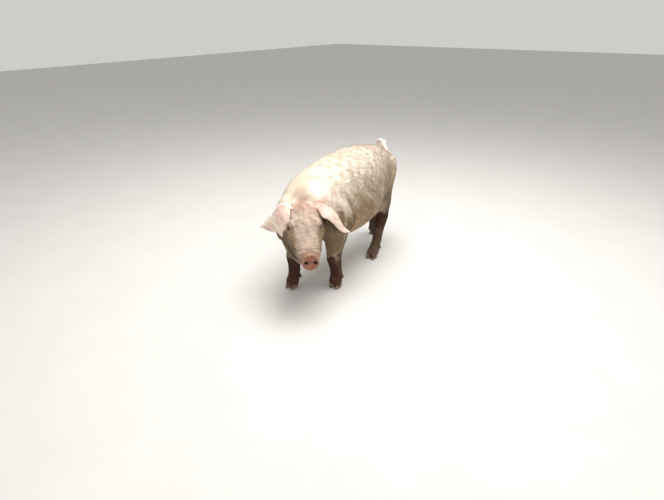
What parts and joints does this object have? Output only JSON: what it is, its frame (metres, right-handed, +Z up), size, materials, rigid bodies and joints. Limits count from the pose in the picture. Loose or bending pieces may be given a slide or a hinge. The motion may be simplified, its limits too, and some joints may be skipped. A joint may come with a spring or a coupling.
{
  "type": "domestic pig model",
  "caption": "Still life-size model of a white semi-lop-eared pig in a slow walk, head lowered and turned to its left, tail curled.",
  "frame": {"origin": "middle of the model's box on the floor that it stands on", "axes": "+Z up; the trunk runs along Y with the snout end towards -Y and the tail towards +Y; +X is the pig's left"},
  "size_m": [0.4342, 1.2342, 0.7098],
  "materials": {
    "skin": "matt pale pink skin with short cream bristles and dry mud",
    "eyes": "wet gloss",
    "claws": "dull horn, muddy"
  },
  "bodies": {
    "root": {"torso": "skin", "neck": "skin", "head": "skin", "ear_left": "skin", "ear_right": "skin", "eye_left": "eyes", "eye_right": "eyes", "tail": "skin", "leg_front_left": "skin", "leg_front_right": "skin", "leg_hind_left": "skin", "leg_hind_right": "skin", "claw_front_left_outer": "claws", "claw_front_left_inner": "claws", "claw_front_right_outer": "claws", "claw_front_right_inner": "claws", "claw_hind_left_outer": "claws", "claw_hind_left_inner": "claws", "claw_hind_right_outer": "claws", "claw_hind_right_inner": "claws", "dewclaw_front_left_outer": "claws", "dewclaw_front_left_inner": "claws", "dewclaw_front_right_outer": "claws", "dewclaw_front_right_inner": "claws", "dewclaw_hind_left_outer": "claws", "dewclaw_hind_left_inner": "claws", "dewclaw_hind_right_outer": "claws", "dewclaw_hind_right_inner": "claws"}
  },
  "joints": []
}
